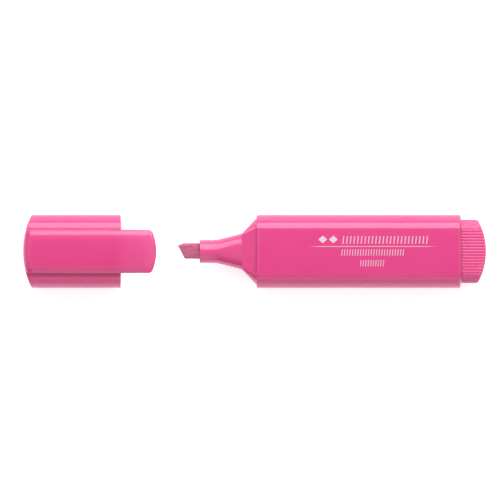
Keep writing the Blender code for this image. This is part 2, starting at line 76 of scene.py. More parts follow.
# The flat-oval section shared by the barrel and the cap
SIDE_RADIUS = 7.4 * MM
EDGE_RADIUS = 3.6 * MM
EDGE_TURN = math.radians(40)
SIDE_FLAT = THICKNESS / 2 - SIDE_RADIUS * math.cos(EDGE_TURN) - EDGE_RADIUS * (1 - math.cos(EDGE_TURN))
FACE_HALF = WIDTH / 2 - SIDE_RADIUS * (1 - math.sin(EDGE_TURN)) - EDGE_RADIUS * math.sin(EDGE_TURN)
SIDE_ARC = SIDE_RADIUS * (math.pi / 2 - EDGE_TURN)
EDGE_ARC = EDGE_RADIUS * EDGE_TURN
CROWN = 0.55 * MM  # how far the upper face has dropped at the pen's side
PANEL_CROWN = 0.5 * MM  # the same for the cap's panel at its own side, on top of CROWN

# Barrel and front section
BARREL_WALL = 1.5 * MM
SEAM = 0.05 * MM  # the seam with the shoulder stands this far in front of the CAD tube
NOZZLE_RADIUS = 3.95 * MM
NOZZLE_LENGTH = 5.65 * MM
CONE_HALF = 6.15 * MM
CONE_LENGTH = 8.7 * MM
SHOULDER_INSET = 1.05 * MM  # how much smaller it is than the barrel where they meet
SHOULDER_CORNER = 0.6 * MM  # of the squared ring where the cone ends
SHOULDER_BEND = 0.9 * MM  # the same where the shoulder meets the barrel

# End plug
HEAD_INSET = 1.7 * MM
HEAD_ARC = 22.6 * MM  # radius of its end face, seen from above
HEAD_ROUND = 0.5 * MM
RIB_DEPTH = 0.15 * MM
RIBS_PER_QUARTER = 15

# Cap and clip
CAP_ARC = 28.7 * MM  # radius of its closed end, seen from above
CAP_WALL = 0.9 * MM
CAP_END_WALL = 1.3 * MM
END_FILLET = 0.3 * MM
PANEL_ROUND = 2.3 * MM
PANEL_TURN = math.radians(48)
TONGUE_THICKNESS = 1.6 * MM
TONGUE_ARC = 17.0 * MM  # radius of its tip, seen from above
TONGUE_SAG = 6.0 * MM  # how far from the tip its upper face begins to fall
TONGUE_EDGE = 1.2 * MM  # how far from the tip the fall rounds over
TONGUE_SLOPE = 0.2  # how steep the fall is where it rounds over

# Nib
NIB_SHIFT = 0.2 * MM  # it sits against one side of its slot
NIB_REACH = NIB_LOW.x - 0.28 * MM  # the swollen felt stands a little past the CAD tip
NIB_TIP_Y = 1.85 * MM
NIB_SLANT = 2.4 * MM
NIB_CHAMFER = 1.95 * MM
NIB_EDGE = 2.2 * MM  # its thickness at the writing edge
NIB_WEDGE = 4.6 * MM  # how far back it takes to reach full thickness

# Colours, linear
PINK = (0.55, 0.040, 0.178)
PINK_PALE = (0.70, 0.15, 0.34)
PINK_DEEP = (0.46, 0.017, 0.105)
FELT = (0.46, 0.100, 0.190)
FELT_DARK = (0.31, 0.056, 0.110)
FELT_PALE = (0.57, 0.17, 0.27)
INK_WHITE = (0.54, 0.42, 0.47)
MILKY = (0.78, 0.74, 0.76)
FLOOR_WHITE = (0.87, 0.87, 0.87)
FLOOR_GREY = (0.80, 0.80, 0.80)
FLOOR_SHADOW_LIFT = 0.5  # painted light: emission strength that lifts the pen's shadow on the floor


# ---- The flat-oval outline ----

def quarter_point(distance):
    """(y, z, normal y, normal z) along the outline's quarter, from mid side to mid face."""
    if distance <= SIDE_FLAT:
        return WIDTH / 2, distance, 1.0, 0.0
    distance -= SIDE_FLAT
    if distance <= SIDE_ARC:
        turn = distance / SIDE_RADIUS
        y = WIDTH / 2 - SIDE_RADIUS * (1 - math.cos(turn))
        return y, SIDE_FLAT + SIDE_RADIUS * math.sin(turn), math.cos(turn), math.sin(turn)
    distance -= SIDE_ARC
    if distance <= EDGE_ARC:
        lean = EDGE_TURN - distance / EDGE_RADIUS
        y = FACE_HALF + EDGE_RADIUS * math.sin(lean)
        return y, THICKNESS / 2 - EDGE_RADIUS * (1 - math.cos(lean)), math.sin(lean), math.cos(lean)
    return FACE_HALF - (distance - EDGE_ARC), THICKNESS / 2, 0.0, 1.0


QUARTER = SIDE_FLAT + SIDE_ARC + EDGE_ARC + FACE_HALF


def spread(start, stop, count):
    """count values from start up to, but not including, stop."""
    return [start + (stop - start) * i / count for i in range(count)]


def quarter_distances(side=2, arc=22, edge=16, face=8):
    """Sample places along a quarter: even within each of its four stretches."""
    distances = spread(0.0, SIDE_FLAT, side)
    distances += spread(SIDE_FLAT, SIDE_FLAT + SIDE_ARC, arc)
    distances += spread(SIDE_FLAT + SIDE_ARC, SIDE_FLAT + SIDE_ARC + EDGE_ARC, edge)
    distances += spread(QUARTER - FACE_HALF, QUARTER, face)
    return distances


def mirrored(quarter):
    """A quarter's samples as the whole loop: upper half from +y to -y, then the lower half back."""
    quarter = quarter[1:] if abs(quarter[0][1]) < 1e-9 else quarter
    left = [(-y, z, -ny, nz) for y, z, ny, nz in reversed(quarter)]
    upper = quarter + left
    return upper + [(y, -z, ny, -nz) for y, z, ny, nz in reversed(upper)]


def crown(y, z):
    """How far the slight crown lowers a point of the upper half."""
    return CROWN * (2 * y / WIDTH) ** 2 * max(0.0, 2 * z / THICKNESS)


OVAL = mirrored([quarter_point(d) for d in quarter_distances()])


def oval_ring(x, inset=0.0, samples=OVAL):
    """A ring of the outline, shrunk by inset, at x. A function for x bends the ring."""
    place = x if callable(x) else lambda y: x
    flat = [(y - inset * ny, z - inset * nz) for y, z, ny, nz in samples]
    return [Vector((place(y), y, AXIS_Z + z - crown(y, z))) for y, z in flat]


def polar_ring(x, reach):
    """A ring whose points leave the axis at the same angles as those of the oval at the shoulder."""
    radius = reach if callable(reach) else lambda angle: reach
    ring = []
    for y, z, ny, nz in OVAL:
        angle = math.atan2(z - SHOULDER_INSET * nz, y - SHOULDER_INSET * ny)
        r = radius(angle)
        ring.append(Vector((x, r * math.cos(angle), AXIS_Z + r * math.sin(angle))))
    return ring


def mixed(first, second, share):
    """The ring that lies the given share of the way from the first ring to the second."""
    return [a.lerp(b, share) for a, b in zip(first, second)]


def shifted(ring, across):
    return [point + Vector((0.0, across, 0.0)) for point in ring]


def at_x(ring, x):
    return [Vector((x, point.y, point.z)) for point in ring]


def circle_ring(x, radius):
    count = 96
    turns = [2 * math.pi * i / count for i in range(count)]
    return [Vector((x, radius * math.cos(a), AXIS_Z + radius * math.sin(a))) for a in turns]


def rounded_square(half, corner):
    """Polar radius of a square with round corners."""
    centre = half - corner

    def radius(angle):
        across = abs(math.cos(angle))
        up = abs(math.sin(angle))
        flat = half / max(across, up)
        if flat * min(across, up) <= centre:
            return flat
        along = centre * (across + up)
        return along + math.sqrt(along * along - 2 * centre * centre + corner * corner)
    return radius


def squared_ring(x, half, corner):
    """A rounded square's ring, each point where the square faces the same way as the oval there."""
    centre = half - corner
    ring = []
    for y, z, ny, nz in OVAL:
        across = centre * max(-1.0, min(1.0, y / FACE_HALF)) + corner * ny
        up = centre * max(-1.0, min(1.0, z / SIDE_FLAT)) + corner * nz
        ring.append(Vector((x, across, AXIS_Z + up)))
    return ring


def shoulder_ring(x):
    """The oval shrunk by the shoulder's inset, with a tighter bend where the face meets the side."""
    loose = EDGE_RADIUS - SHOULDER_INSET
    top = THICKNESS / 2 - SHOULDER_INSET
    meet = FACE_HALF + loose * (math.sin(EDGE_TURN) - (1 - math.cos(EDGE_TURN)) / math.tan(EDGE_TURN))
    centre = meet - SHOULDER_BEND * math.tan(EDGE_TURN / 2)
    ring = []
    for y, z, ny, nz in OVAL:
        if abs(nz) <= math.cos(EDGE_TURN) + 1e-6:
            across, up = y - SHOULDER_INSET * ny, z - SHOULDER_INSET * nz
        else:
            across = centre * max(-1.0, min(1.0, y / FACE_HALF)) + SHOULDER_BEND * ny
            up = math.copysign(top - SHOULDER_BEND, z) + SHOULDER_BEND * nz
        ring.append(Vector((x, across, AXIS_Z + up - crown(across, up))))
    return ring


def slot_radius(half_width, half_height):
    """Polar radius of a rectangle with rounded corners, as a superellipse."""
    power = 8  # the higher it is, the squarer the corners

    def radius(angle):
        across = abs(math.cos(angle)) / half_width
        up = abs(math.sin(angle)) / half_height
        return (across**power + up**power) ** (-1 / power)
    return radius


def sagitta(arc, y):
    """How far an arc of that radius has dropped at y from its crown."""
    return arc - math.sqrt(arc * arc - y * y)


def rounding(radius, steps):
    """(setback, inset) pairs that carry a side round onto an end face."""
    turns = [math.pi / 2 * i / steps for i in range(steps + 1)]
    return [(radius * (1 - math.sin(turn)), radius * (1 - math.cos(turn))) for turn in turns]


def fillet_drop(radius, distance):
    """How far a rounded edge of that radius has dropped at a distance short of the end."""
    short = max(0.0, radius - distance)
    return radius - math.sqrt(radius * radius - short * short)


# ---- Mesh building ----

def add_verts(bm, ring):
    return [bm.verts.new(point) for point in ring]


def bridge(bm, near, far, cyclic=True):
    """A band of quads between two rows of vertices."""
    count = len(near)
    for i in range(count if cyclic else count - 1):
        j = (i + 1) % count
        bm.faces.new((near[i], near[j], far[j], far[i]))


def add_rings(bm, rings, cyclic=False):
    made = [add_verts(bm, ring) for ring in rings]
    for near, far in zip(made, made[1:]):
        bridge(bm, near, far)
    if cyclic:
        bridge(bm, made[-1], made[0])
    return made


def close_with_strips(bm, ring):
    """Closes a bent ring with strips between its upper and lower halves."""
    half = len(ring) // 2
    last = len(ring) - 1
    side = sum(abs(vert.co.y - ring[0].co.y) < 1e-9 for vert in ring[:half])
    stops = [0, *range(side, half - side), half - 1]
    for near, far in zip(stops, stops[1:]):
        bm.faces.new(ring[near : far + 1] + ring[last - far : last - near + 1])


def add_piece(name, bm, material, body=None, replaces=(), sharp=35):
    """Turns the mesh into a smooth-shaded piece that rides on a body and stands for CAD nodes."""
    bmesh.ops.recalc_face_normals(bm, faces=bm.faces)
    mesh = bpy.data.meshes.new(name)
    bm.to_mesh(mesh)
    bm.free()
    mesh.materials.append(material)
    mesh.shade_smooth()
    mesh.set_sharp_from_angle(angle=math.radians(sharp))
    piece = bpy.data.objects.new(name, mesh)
    bpy.context.scene.collection.objects.link(piece)
    if body:
        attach(piece, body)
    if replaces:
        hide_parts(*replaces)
    return piece


# ---- Material nodes ----

INPUTS = {
    "colour": "Base Color",
    "roughness": "Roughness",
    "normal": "Normal",
    "ior": "IOR",
    "specular": "Specular IOR Level",
    "subsurface": "Subsurface Weight",
    "depth": "Subsurface Scale",
    "radius": "Subsurface Radius",
    "sheen": "Sheen Weight",
    "sheen_roughness": "Sheen Roughness",
}


class Shader:
    """A new material and the few node patterns that the materials here share."""

    def __init__(self, name):
        self.material = bpy.data.materials.new(name)
        self.material.use_nodes = True
        self.tree = self.material.node_tree
        self.principled = self.tree.nodes["Principled BSDF"]
        self.place = self.tree.nodes.new("ShaderNodeTexCoord").outputs["Object"]

    def node(self, kind, **settings):
        made = self.tree.nodes.new(kind)
        for key, value in settings.items():
            setattr(made, key, value)
        return made

    def link(self, output, target):
        self.tree.links.new(output, target)

    def feed(self, target, value):
        if isinstance(value, bpy.types.NodeSocket):
            self.link(value, target)
        else:
            target.default_value = value

    def stretched(self, scale):
        """The position in millimetres, scaled by a different amount along each axis."""
        mapping = self.node("ShaderNodeMapping")
        self.link(self.place, mapping.inputs["Vector"])
        mapping.inputs["Scale"].default_value = [s / MM for s in scale]
        return mapping.outputs["Vector"]

    def noise(self, scale, detail=4.0, roughness=0.55):
        made = self.node("ShaderNodeTexNoise")
        self.link(self.stretched(scale), made.inputs["Vector"])
        made.inputs["Scale"].default_value = 1.0
        made.inputs["Detail"].default_value = detail
        made.inputs["Roughness"].default_value = roughness
        return made.outputs["Fac"]

    def remap(self, value, low, high, to_low=0.0, to_high=1.0):
        made = self.node("ShaderNodeMapRange")
        self.link(value, made.inputs["Value"])
        for key, number in zip(("From Min", "From Max", "To Min", "To Max"), (low, high, to_low, to_high)):
            made.inputs[key].default_value = number
        return made.outputs["Result"]

    def mix(self, share, first, second):
        made = self.node("ShaderNodeMix", data_type="RGBA")
        self.feed(made.inputs["Factor"], share)
        for target, colour in ((made.inputs["A"], first), (made.inputs["B"], second)):
            self.feed(target, colour if isinstance(colour, bpy.types.NodeSocket) else (*colour, 1.0))
        return made.outputs["Result"]

    def math(self, operation, first, second):
        made = self.node("ShaderNodeMath", operation=operation)
        self.feed(made.inputs[0], first)
        self.feed(made.inputs[1], second)
        return made.outputs[0]

    def bump(self, height, distance, under=None):
        made = self.node("ShaderNodeBump")
        self.link(height, made.inputs["Height"])
        made.inputs["Distance"].default_value = distance
        made.inputs["Strength"].default_value = 1.0
        if under:
            self.link(under, made.inputs["Normal"])
        return made.outputs["Normal"]

    def set(self, **values):
        """Sets inputs of the Principled BSDF, by the short names of INPUTS, to numbers or node outputs."""
        for key, value in values.items():
            target = self.principled.inputs[INPUTS[key]]
            is_colour = isinstance(value, tuple) and key == "colour"
            self.feed(target, (*value, 1.0) if is_colour else value)


def moulded_plastic(name, gloss=0.13, painted_through_light=None):
    """Glossy injection-moulded plastic: faint flow clouds, orange peel, hairline scratches, rubbed edges.
    The through-light argument is painted light: where in x the colour begins to pale as if light shone
    through the wall, where it is fully pale, and how much paler it gets."""
    s = Shader(name)
    clouds = s.noise((0.05, 0.11, 0.11), detail=3)
    peel = s.noise((0.45, 0.55, 0.55), detail=2)
    grain = s.noise((5.0, 5.0, 5.0), detail=2)
    scratches = s.noise((0.18, 7.0, 7.0), detail=3, roughness=0.7)
    handled = s.noise((0.16, 0.2, 0.2), detail=5, roughness=0.65)
    pointed = s.node("ShaderNodeNewGeometry").outputs["Pointiness"]
    rubbed = s.math("MULTIPLY", s.remap(pointed, 0.53, 0.62), s.remap(handled, 0.35, 0.65))
    tinted = s.mix(s.remap(clouds, 0.3, 0.7, 0.0, 0.10), PINK, PINK_DEEP)
    tinted = s.mix(s.math("MULTIPLY", rubbed, 0.35), tinted, PINK_PALE)
    # Painted light: the colour pales along x, standing in for light that shines through the wall.
    if painted_through_light:
        begins, full, paler = painted_through_light
        place = s.node("ShaderNodeSeparateXYZ")
        s.link(s.place, place.inputs[0])
        tinted = s.mix(s.remap(place.outputs["X"], begins, full, 0.0, paler), tinted, PINK_PALE)
    worn = s.remap(handled, 0.35, 0.75, gloss - 0.03, gloss + 0.06)
    rough = s.math("ADD", worn, s.remap(scratches, 0.62, 0.78, 0.0, 0.10))
    rough = s.math("ADD", rough, s.math("MULTIPLY", rubbed, 0.12))
    normal = s.bump(peel, 0.004 * MM)
    normal = s.bump(scratches, 0.0012 * MM, under=normal)
    normal = s.bump(grain, 0.0006 * MM, under=normal)
    s.set(colour=tinted, roughness=rough, normal=normal, ior=1.6)
    s.set(subsurface=0.3, depth=0.6 * MM, radius=(1.0, 0.15, 0.3))
    return s.material


def felt(name, pale, mid, dark):
    """Ink-soaked fibre bundle: strands along the pen, mottled darker by ink."""
    s = Shader(name)
    strands = s.noise((0.5, 9.0, 9.0), detail=5, roughness=0.6)
    tufts = s.noise((1.6, 4.5, 4.5), detail=4, roughness=0.65)
    mottle = s.noise((0.7, 0.9, 0.9), detail=4)
    colour = s.mix(s.remap(mottle, 0.35, 0.7), mid, dark)
    colour = s.mix(s.remap(strands, 0.5, 0.75), colour, pale)
    rough = s.remap(mottle, 0.3, 0.7, 0.62, 0.9)
    normal = s.bump(strands, 0.09 * MM)
    normal = s.bump(tufts, 0.06 * MM, under=normal)
    s.set(colour=colour, roughness=rough, normal=normal, sheen=0.25, sheen_roughness=0.5, specular=0.35)
    s.set(subsurface=0.1, depth=0.3 * MM, radius=(1.0, 0.3, 0.45))
    return s.material


def printed_ink(name):
    """Pad-printed white ink: a little uneven, with pinholes that show the plastic."""
    s = Shader(name)
    uneven = s.noise((1.6, 1.6, 1.6), detail=3)
    pinholes = s.noise((9.0, 9.0, 9.0), detail=2)
    colour = s.mix(s.remap(uneven, 0.3, 0.7, 0.0, 0.12), INK_WHITE, PINK_PALE)
    colour = s.mix(s.remap(pinholes, 0.68, 0.76, 0.0, 0.5), colour, PINK)
    rough = s.remap(uneven, 0.3, 0.7, 0.32, 0.45)
    s.set(colour=colour, roughness=rough, normal=s.bump(pinholes, 0.002 * MM))
    return s.material


def milky_plastic(name):
    """Unpigmented polypropylene: waxy, a little cloudy, faintly tinted by ink."""
    s = Shader(name)
    clouds = s.noise((0.3, 0.3, 0.3), detail=4)
    grain = s.noise((4.0, 4.0, 4.0), detail=3)
    colour = s.mix(s.remap(clouds, 0.4, 0.7, 0.0, 0.25), MILKY, PINK_PALE)
    s.set(colour=colour, roughness=s.remap(grain, 0.3, 0.7, 0.3, 0.45), normal=s.bump(grain, 0.004 * MM))
    s.set(subsurface=0.3, depth=1.0 * MM, radius=(1.0, 0.9, 0.9))
    return s.material


def lit_floor(name):
    """Pale paper with painted light: it shines where the pen's shadow falls, lifting that shadow, and fades
    outwards.
    """
    s = Shader(name)
    tooth = s.noise((0.8, 0.8, 0.8), detail=4)
    s.set(colour=s.mix(s.remap(tooth, 0.3, 0.7, 0.0, 0.02), FLOOR_WHITE, FLOOR_GREY))
    s.set(roughness=0.75, specular=0.2, normal=s.bump(tooth, 0.004 * MM))
    offset = s.node("ShaderNodeSeparateXYZ")
    s.link(s.place, offset.inputs[0])
    # Painted light: emission on the -Y side, where the pen's shadow falls, fading out further away.
    shaded = s.remap(offset.outputs["Y"], 12 * MM, -8 * MM, 0.0, FLOOR_SHADOW_LIFT)
    painted_shadow_lift = s.math("MULTIPLY", shaded, s.remap(offset.outputs["Y"], -110 * MM, -20 * MM))
    s.principled.inputs["Emission Color"].default_value = (1.0, 1.0, 1.0, 1.0)
    s.link(painted_shadow_lift, s.principled.inputs["Emission Strength"])
    return s.material


# ---- The pen ----

def make_barrel(material):
    """The flat-oval tube, its front rim eased and its rear edge rounded over."""
    front = BARREL_FRONT - SEAM
    rim = 0.25 * MM
    rear_round = 0.8 * MM
    support = 0.4 * MM
    taper = 0.13 * MM  # how much slimmer the barrel begins
    taper_length = 1.1 * MM
    lip = 2.0 * MM
    lip_length = 7.0 * MM
    rings = [oval_ring(front + 6.0 * MM, BARREL_WALL), oval_ring(front + rim, BARREL_WALL)]
    rings.append(oval_ring(front, BARREL_WALL - rim / 2))
    rings += [oval_ring(front + back, taper + shrink) for back, shrink in reversed(rounding(rim, 5))]
    rings.append(oval_ring(front + rim + 0.1 * MM, taper))
    rings.append(oval_ring(front + taper_length - 0.1 * MM, 0.008 * MM))
    rings += [oval_ring(front + taper_length), oval_ring(front + taper_length + support)]
    length = BARREL_REAR - front
    rings += [oval_ring(front + length * share) for share in (0.1, 0.3, 0.5, 0.7, 0.9)]
    rings.append(oval_ring(BARREL_REAR - rear_round - support))
    rings += [oval_ring(BARREL_REAR - back, shrink) for back, shrink in rounding(rear_round, 9)]
    rings.append(oval_ring(BARREL_REAR, rear_round + 0.12 * MM))
    rings.append(oval_ring(BARREL_REAR, lip))
    rings.append(oval_ring(BARREL_REAR - lip_length, lip))
    rings.append(oval_ring(BARREL_REAR - lip_length - 0.5 * MM, BARREL_WALL))
    bm = bmesh.new()
    add_rings(bm, rings, cyclic=True)
    add_piece("barrel", bm, material, "pen", ["barrel_shell"])


def make_front_section(material):
    """Nozzle, cone and shoulder. The cone squares off towards the shoulder, whose corners are sharper."""
    mouth = FRONT_LOW.x
    root = mouth + NOZZLE_LENGTH
    crease = root + CONE_LENGTH
    base = BARREL_FRONT - SEAM - 0.02 * MM
    lip = 0.22 * MM
    step = 0.12 * MM
    gap = 0.12 * MM
    flare = 0.15 * MM
    bend = 1.2 * MM
    slot = slot_radius((NIB_HIGH.y - NIB_LOW.y) / 2 + gap, (NIB_HIGH.z - NIB_LOW.z) / 2 + gap)
    spigot = BARREL_WALL + 0.1 * MM
    spigot_wall = 0.9 * MM
    spigot_end = BARREL_FRONT + 5.5 * MM
    crease_ring = polar_ring(crease, rounded_square(CONE_HALF, NOZZLE_RADIUS))
    foot_ring = squared_ring(crease + step, CONE_HALF, SHOULDER_CORNER)
    base_ring = shoulder_ring(base)
    rings = [shifted(polar_ring(x, slot), NIB_SHIFT) for x in (root, mouth + lip)]
    rings.append(shifted(polar_ring(mouth, lambda angle: slot(angle) + flare), NIB_SHIFT))
    for back, shrink in reversed(rounding(lip, 5)):
        rings.append(polar_ring(mouth + back, NOZZLE_RADIUS - shrink))
    rings.append(polar_ring(mouth + lip + 0.15 * MM, NOZZLE_RADIUS))
    root_ring = polar_ring(root, NOZZLE_RADIUS)
    rings.append(polar_ring(root - bend - 0.3 * MM, NOZZLE_RADIUS))
    for i in range(9):
        along = -bend + 2 * bend * i / 8
        share = (along + bend) ** 2 / (4 * bend) / CONE_LENGTH
        rings.append(at_x(mixed(root_ring, crease_ring, share), root + along))
    rings += [mixed(root_ring, crease_ring, share) for share in (0.35, 0.6, 0.85, 0.97, 1.0)]
    rings += [mixed(foot_ring, base_ring, share) for share in (0.0, 0.03, 0.25, 0.5, 0.75, 0.95)]
    rings.append(base_ring)
    rings += [oval_ring(base, spigot), oval_ring(spigot_end, spigot)]
    rings.append(oval_ring(spigot_end, spigot + spigot_wall))
    rings.append(oval_ring(BARREL_FRONT - 1.5 * MM, spigot + spigot_wall))
    rings.append(polar_ring(crease + 1.0 * MM, CONE_HALF - 1.35 * MM))
    bm = bmesh.new()
    add_rings(bm, rings, cyclic=True)
    add_piece("nozzle_and_shoulder", bm, material, "pen", ["front_section"])


def shrunk_quarter(inset):
    """How long a quarter of the outline is once it is shrunk by inset."""
    return QUARTER - inset * math.pi / 2


def unshrunk(distance, inset):
    """The distance along the outline that belongs to a distance along the shrunk one."""
    if distance <= SIDE_FLAT:
        return distance
    start = SIDE_FLAT
    distance -= SIDE_FLAT
    for length, radius in ((SIDE_ARC, SIDE_RADIUS), (EDGE_ARC, EDGE_RADIUS)):
        shrunk = length * (radius - inset) / radius
        if distance <= shrunk:
            return start + distance * length / shrunk
        distance -= shrunk
        start += length
    return start + distance


def rib_samples(count):
    """Samples even along the plug's own outline, with the rib depth at each as a share of RIB_DEPTH.
    The ribs deepen round the side."""
    girth = shrunk_quarter(HEAD_INSET)
    quarter = [quarter_point(unshrunk(girth * (i + 0.5) / count, HEAD_INSET)) for i in range(count)]
    depths = []
    for i, sample in enumerate(quarter):
        facing_up = sample[3]
        wave = abs(math.cos(math.pi * RIBS_PER_QUARTER * (i + 0.5) / count))
        depths.append((1 - wave**0.55) * (1 + 1.2 * math.sqrt(1 - facing_up)))
    upper = depths + depths[::-1]
    return mirrored(quarter), upper + upper[::-1]


def make_end_plug(material):
    """The ribbed head. Its half-round ribs run over the rounded end and fade out on the end face."""
    samples, depths = rib_samples(RIBS_PER_QUARTER * 12)
    spigot = 2.05 * MM
    spigot_length = 6.0 * MM
    base = BARREL_REAR + 0.02 * MM
    start = base + 0.15 * MM
    run_out = 0.3 * MM
    fade = (0.0, 0.15, 0.5, 0.85, 1.0)
    face = -0.02 * MM  # the end face stands slightly past its rounded rim

    def end_at(distance):
        return lambda y: PLUG_HIGH.x - distance - sagitta(HEAD_ARC, y)

    def ribbed(x, share, extra=0.0):
        plain = oval_ring(x, HEAD_INSET + extra, samples)
        sunk = oval_ring(x, HEAD_INSET + extra + RIB_DEPTH * share, samples)
        return [a.lerp(b, depth) for a, b, depth in zip(plain, sunk, depths)]

    rings = [oval_ring(BARREL_REAR - spigot_length, spigot, samples), oval_ring(base, spigot, samples)]
    rings.append(oval_ring(base, HEAD_INSET, samples))
    rings += [ribbed(start + run_out * i / 4, share) for i, share in enumerate(fade)]
    rings.append(ribbed(end_at(HEAD_ROUND + 0.3 * MM), 1.0))
    rings += [ribbed(end_at(back), 1.0, shrink) for back, shrink in rounding(HEAD_ROUND, 8)]
    rings.append(ribbed(end_at(face), 0.4, HEAD_ROUND + 0.3 * MM))
    rings.append(ribbed(end_at(face), 0.0, HEAD_ROUND + 0.5 * MM))
    bm = bmesh.new()
    made = add_rings(bm, rings)
    close_with_strips(bm, made[0])
    close_with_strips(bm, made[-1])
    add_piece("ribbed_end_plug", bm, material, "pen", ["end_plug"])


def nib_cut(y):
    """Where the slanted writing edge, and the chamfer above its tip, stand at y."""
    half = (NIB_HIGH.y - NIB_LOW.y) / 2
    if y > NIB_TIP_Y:
        return NIB_REACH + NIB_CHAMFER * (y - NIB_TIP_Y) / (half - NIB_TIP_Y)
    return NIB_REACH + NIB_SLANT * (NIB_TIP_Y - y) / (half + NIB_TIP_Y)


def make_nib(material):
    """The felt chisel. Its worn edges are rounded, and strands of fibre ruffle its surface."""
    half = (NIB_HIGH.y - NIB_LOW.y) / 2
    full = (NIB_HIGH.z - NIB_LOW.z) / 2
    corner = 0.75 * MM
    quarter = spread(0.0, 1.0, 22)
    corner_begins, corner_ends = 0.2, 0.55  # as shares of the quarter's samples
    exposed = FRONT_LOW.x - NIB_LOW.x + 2.0 * MM

    def section(place, shrink, thick):
        side = half - shrink
        top = thick - shrink
        bend = min(corner, top * 0.8)
        points = []
        for share in quarter[1:]:
            if share < corner_begins:
                points.append((side, (top - bend) * share / corner_begins))
            elif share < corner_ends:
                turn = math.pi / 2 * (share - corner_begins) / (corner_ends - corner_begins)
                points.append((side - bend * (1 - math.cos(turn)), top - bend * (1 - math.sin(turn))))
            else:
                points.append(((side - bend) * (1 - share) / (1 - corner_ends), top))
        upper = points + [(-y, z) for y, z in reversed(points)]
        loop = upper + [(y, -z) for y, z in reversed(upper)]
        return [Vector((place(y), y + NIB_SHIFT, AXIS_Z + z)) for y, z in loop]

    def thickness(distance):
        share = min(1.0, distance / NIB_WEDGE)
        return NIB_EDGE / 2 + (full - NIB_EDGE / 2) * share

    blunt = 0.28 * MM
    rings = []
    for back, shrink in reversed(rounding(blunt, 4)):
        rings.append(section(lambda y, back=back: nib_cut(y) + back, shrink, thickness(back)))
    steps = 44
    for i in range(1, steps + 1):
        along = blunt + (exposed - NIB_SLANT - blunt) * i / steps
        rings.append(section(lambda y, along=along: nib_cut(y) + along, 0.0, thickness(along)))
    rings.append(section(lambda y: NIB_HIGH.x, 0.0, full))
    rings.append(section(lambda y: NIB_HIGH.x, 0.5 * MM, full))
    bm = bmesh.new()
    made = add_rings(bm, rings)
    close_with_strips(bm, made[0])
    close_with_strips(bm, made[-1])
    ruffle(bm)
    add_piece("felt_nib", bm, material, "pen", ["chisel_nib"], sharp=60)


def ruffle(bm):
    """Moves the nib's surface by noise drawn out along the fibres. The held part stays inside its slot."""
    bmesh.ops.recalc_face_normals(bm, faces=bm.faces)
    bm.normal_update()
    amount = 0.07 * MM
    strand_scale = Vector((0.5, 3.2, 3.2)) / MM
    tuft_scale = Vector((2.2, 4.5, 4.5)) / MM
    for vert in bm.verts:
        strand = noise.noise(vert.co * strand_scale)
        tuft = noise.noise(vert.co * tuft_scale)
        lift = amount * (0.6 * strand + 0.4 * tuft - 0.5)
        vert.co += vert.normal * lift


# ---- Print on the barrel ----

def add_ink(bm, outline):
    """A thin raised patch of ink over an outline of (x, y) corners, laid on the crowned face."""
    ink = 0.02 * MM
    layers = []
    for lift in (-ink, ink):
        layer = []
        for x, y in outline:
            z = AXIS_Z + THICKNESS / 2 - crown(y, THICKNESS / 2) + lift
            layer.append(bm.verts.new((x, y, z)))
        layers.append(layer)
    bridge(bm, *layers)
    bm.faces.new(layers[0])
    bm.faces.new(layers[1])


def add_bars(bm, start, stop, y, height, weight, count):
    """A row of slightly slanted bars."""
    slant = 0.12 * height
    pitch = (stop - start - weight - slant) / (count - 1)
    top = y + height / 2
    low = y - height / 2
    for i in range(count):
        x = start + pitch * i
        add_ink(bm, [(x, low), (x + weight, low), (x + weight + slant, top), (x + slant, top)])


def add_lozenge(bm, x, y, half_length, half_height):
    add_ink(bm, [(x - half_length, y), (x, y - half_height), (x + half_length, y), (x, y + half_height)])


def add_rule(bm, start, stop, y, half, fade):
    """A fine line whose ends run out to points."""
    upper = [(start, y), (start + fade, y + half), (stop - fade, y + half), (stop, y)]
    add_ink(bm, upper + [(stop - fade, y - half), (start + fade, y - half)])


def make_print(material):
    """Plain marks where the photograph has lettering: a rule, two lozenges and three rows of bars."""
    bm = bmesh.new()
    add_rule(bm, -17.5 * MM, 26.8 * MM, y=1.7 * MM, half=0.1 * MM, fade=5.0 * MM)
    for x in (-12.3 * MM, -8.7 * MM):
        add_lozenge(bm, x, 4.1 * MM, half_length=1.5 * MM, half_height=1.3 * MM)
    add_bars(bm, -5.6 * MM, 23.5 * MM, y=3.95 * MM, height=2.6 * MM, weight=0.30 * MM, count=24)
    add_bars(bm, -6.0 * MM, 15.4 * MM, y=-0.35 * MM, height=2.2 * MM, weight=0.24 * MM, count=24)
    add_bars(bm, 0.4 * MM, 8.6 * MM, y=-4.0 * MM, height=2.2 * MM, weight=0.24 * MM, count=10)
    add_piece("barrel_print", bm, material, "pen")


# ---- The cap ----

def panel_half_profile():
    """(y, height above the face as a share) from the panel's foot, over its rounded edge, to its middle."""
    foot = 0.14 * MM
    height = PANEL_HEIGHT
    drop = PANEL_ROUND * (1 - math.cos(PANEL_TURN))
    flat = PANEL_HALF - PANEL_ROUND * math.sin(PANEL_TURN)
    under = height - TONGUE_THICKNESS
    points = []
    for i in range(5):
        turn = math.pi / 2 * i / 4
        points.append((PANEL_HALF + foot * (1 - math.sin(turn)), foot * (1 - math.cos(turn))))
    points.append((PANEL_HALF, under))
    wall_top = height - drop
    edge = 0.08 * MM
    points.append((PANEL_HALF, wall_top - edge))
    points.append((PANEL_HALF - edge * 0.3, wall_top - edge * 0.2))
    steps = 12
    for i in range(1, steps + 1):
        lean = PANEL_TURN * (1 - i / steps)
        points.append((flat + PANEL_ROUND * math.sin(lean), height - PANEL_ROUND * (1 - math.cos(lean))))
    points += [(flat * (1 - share), height) for share in spread(0.12, 1.0, 7)]
    bowed = [(y, z - PANEL_CROWN * (y / PANEL_HALF) ** 4 * z / height) for y, z in points]
    return [(y, z / height) for y, z in bowed]


PANEL_PROFILE = panel_half_profile()
PANEL_UNDER = 5  # index in the profile of the wall point level with the tongue's underside


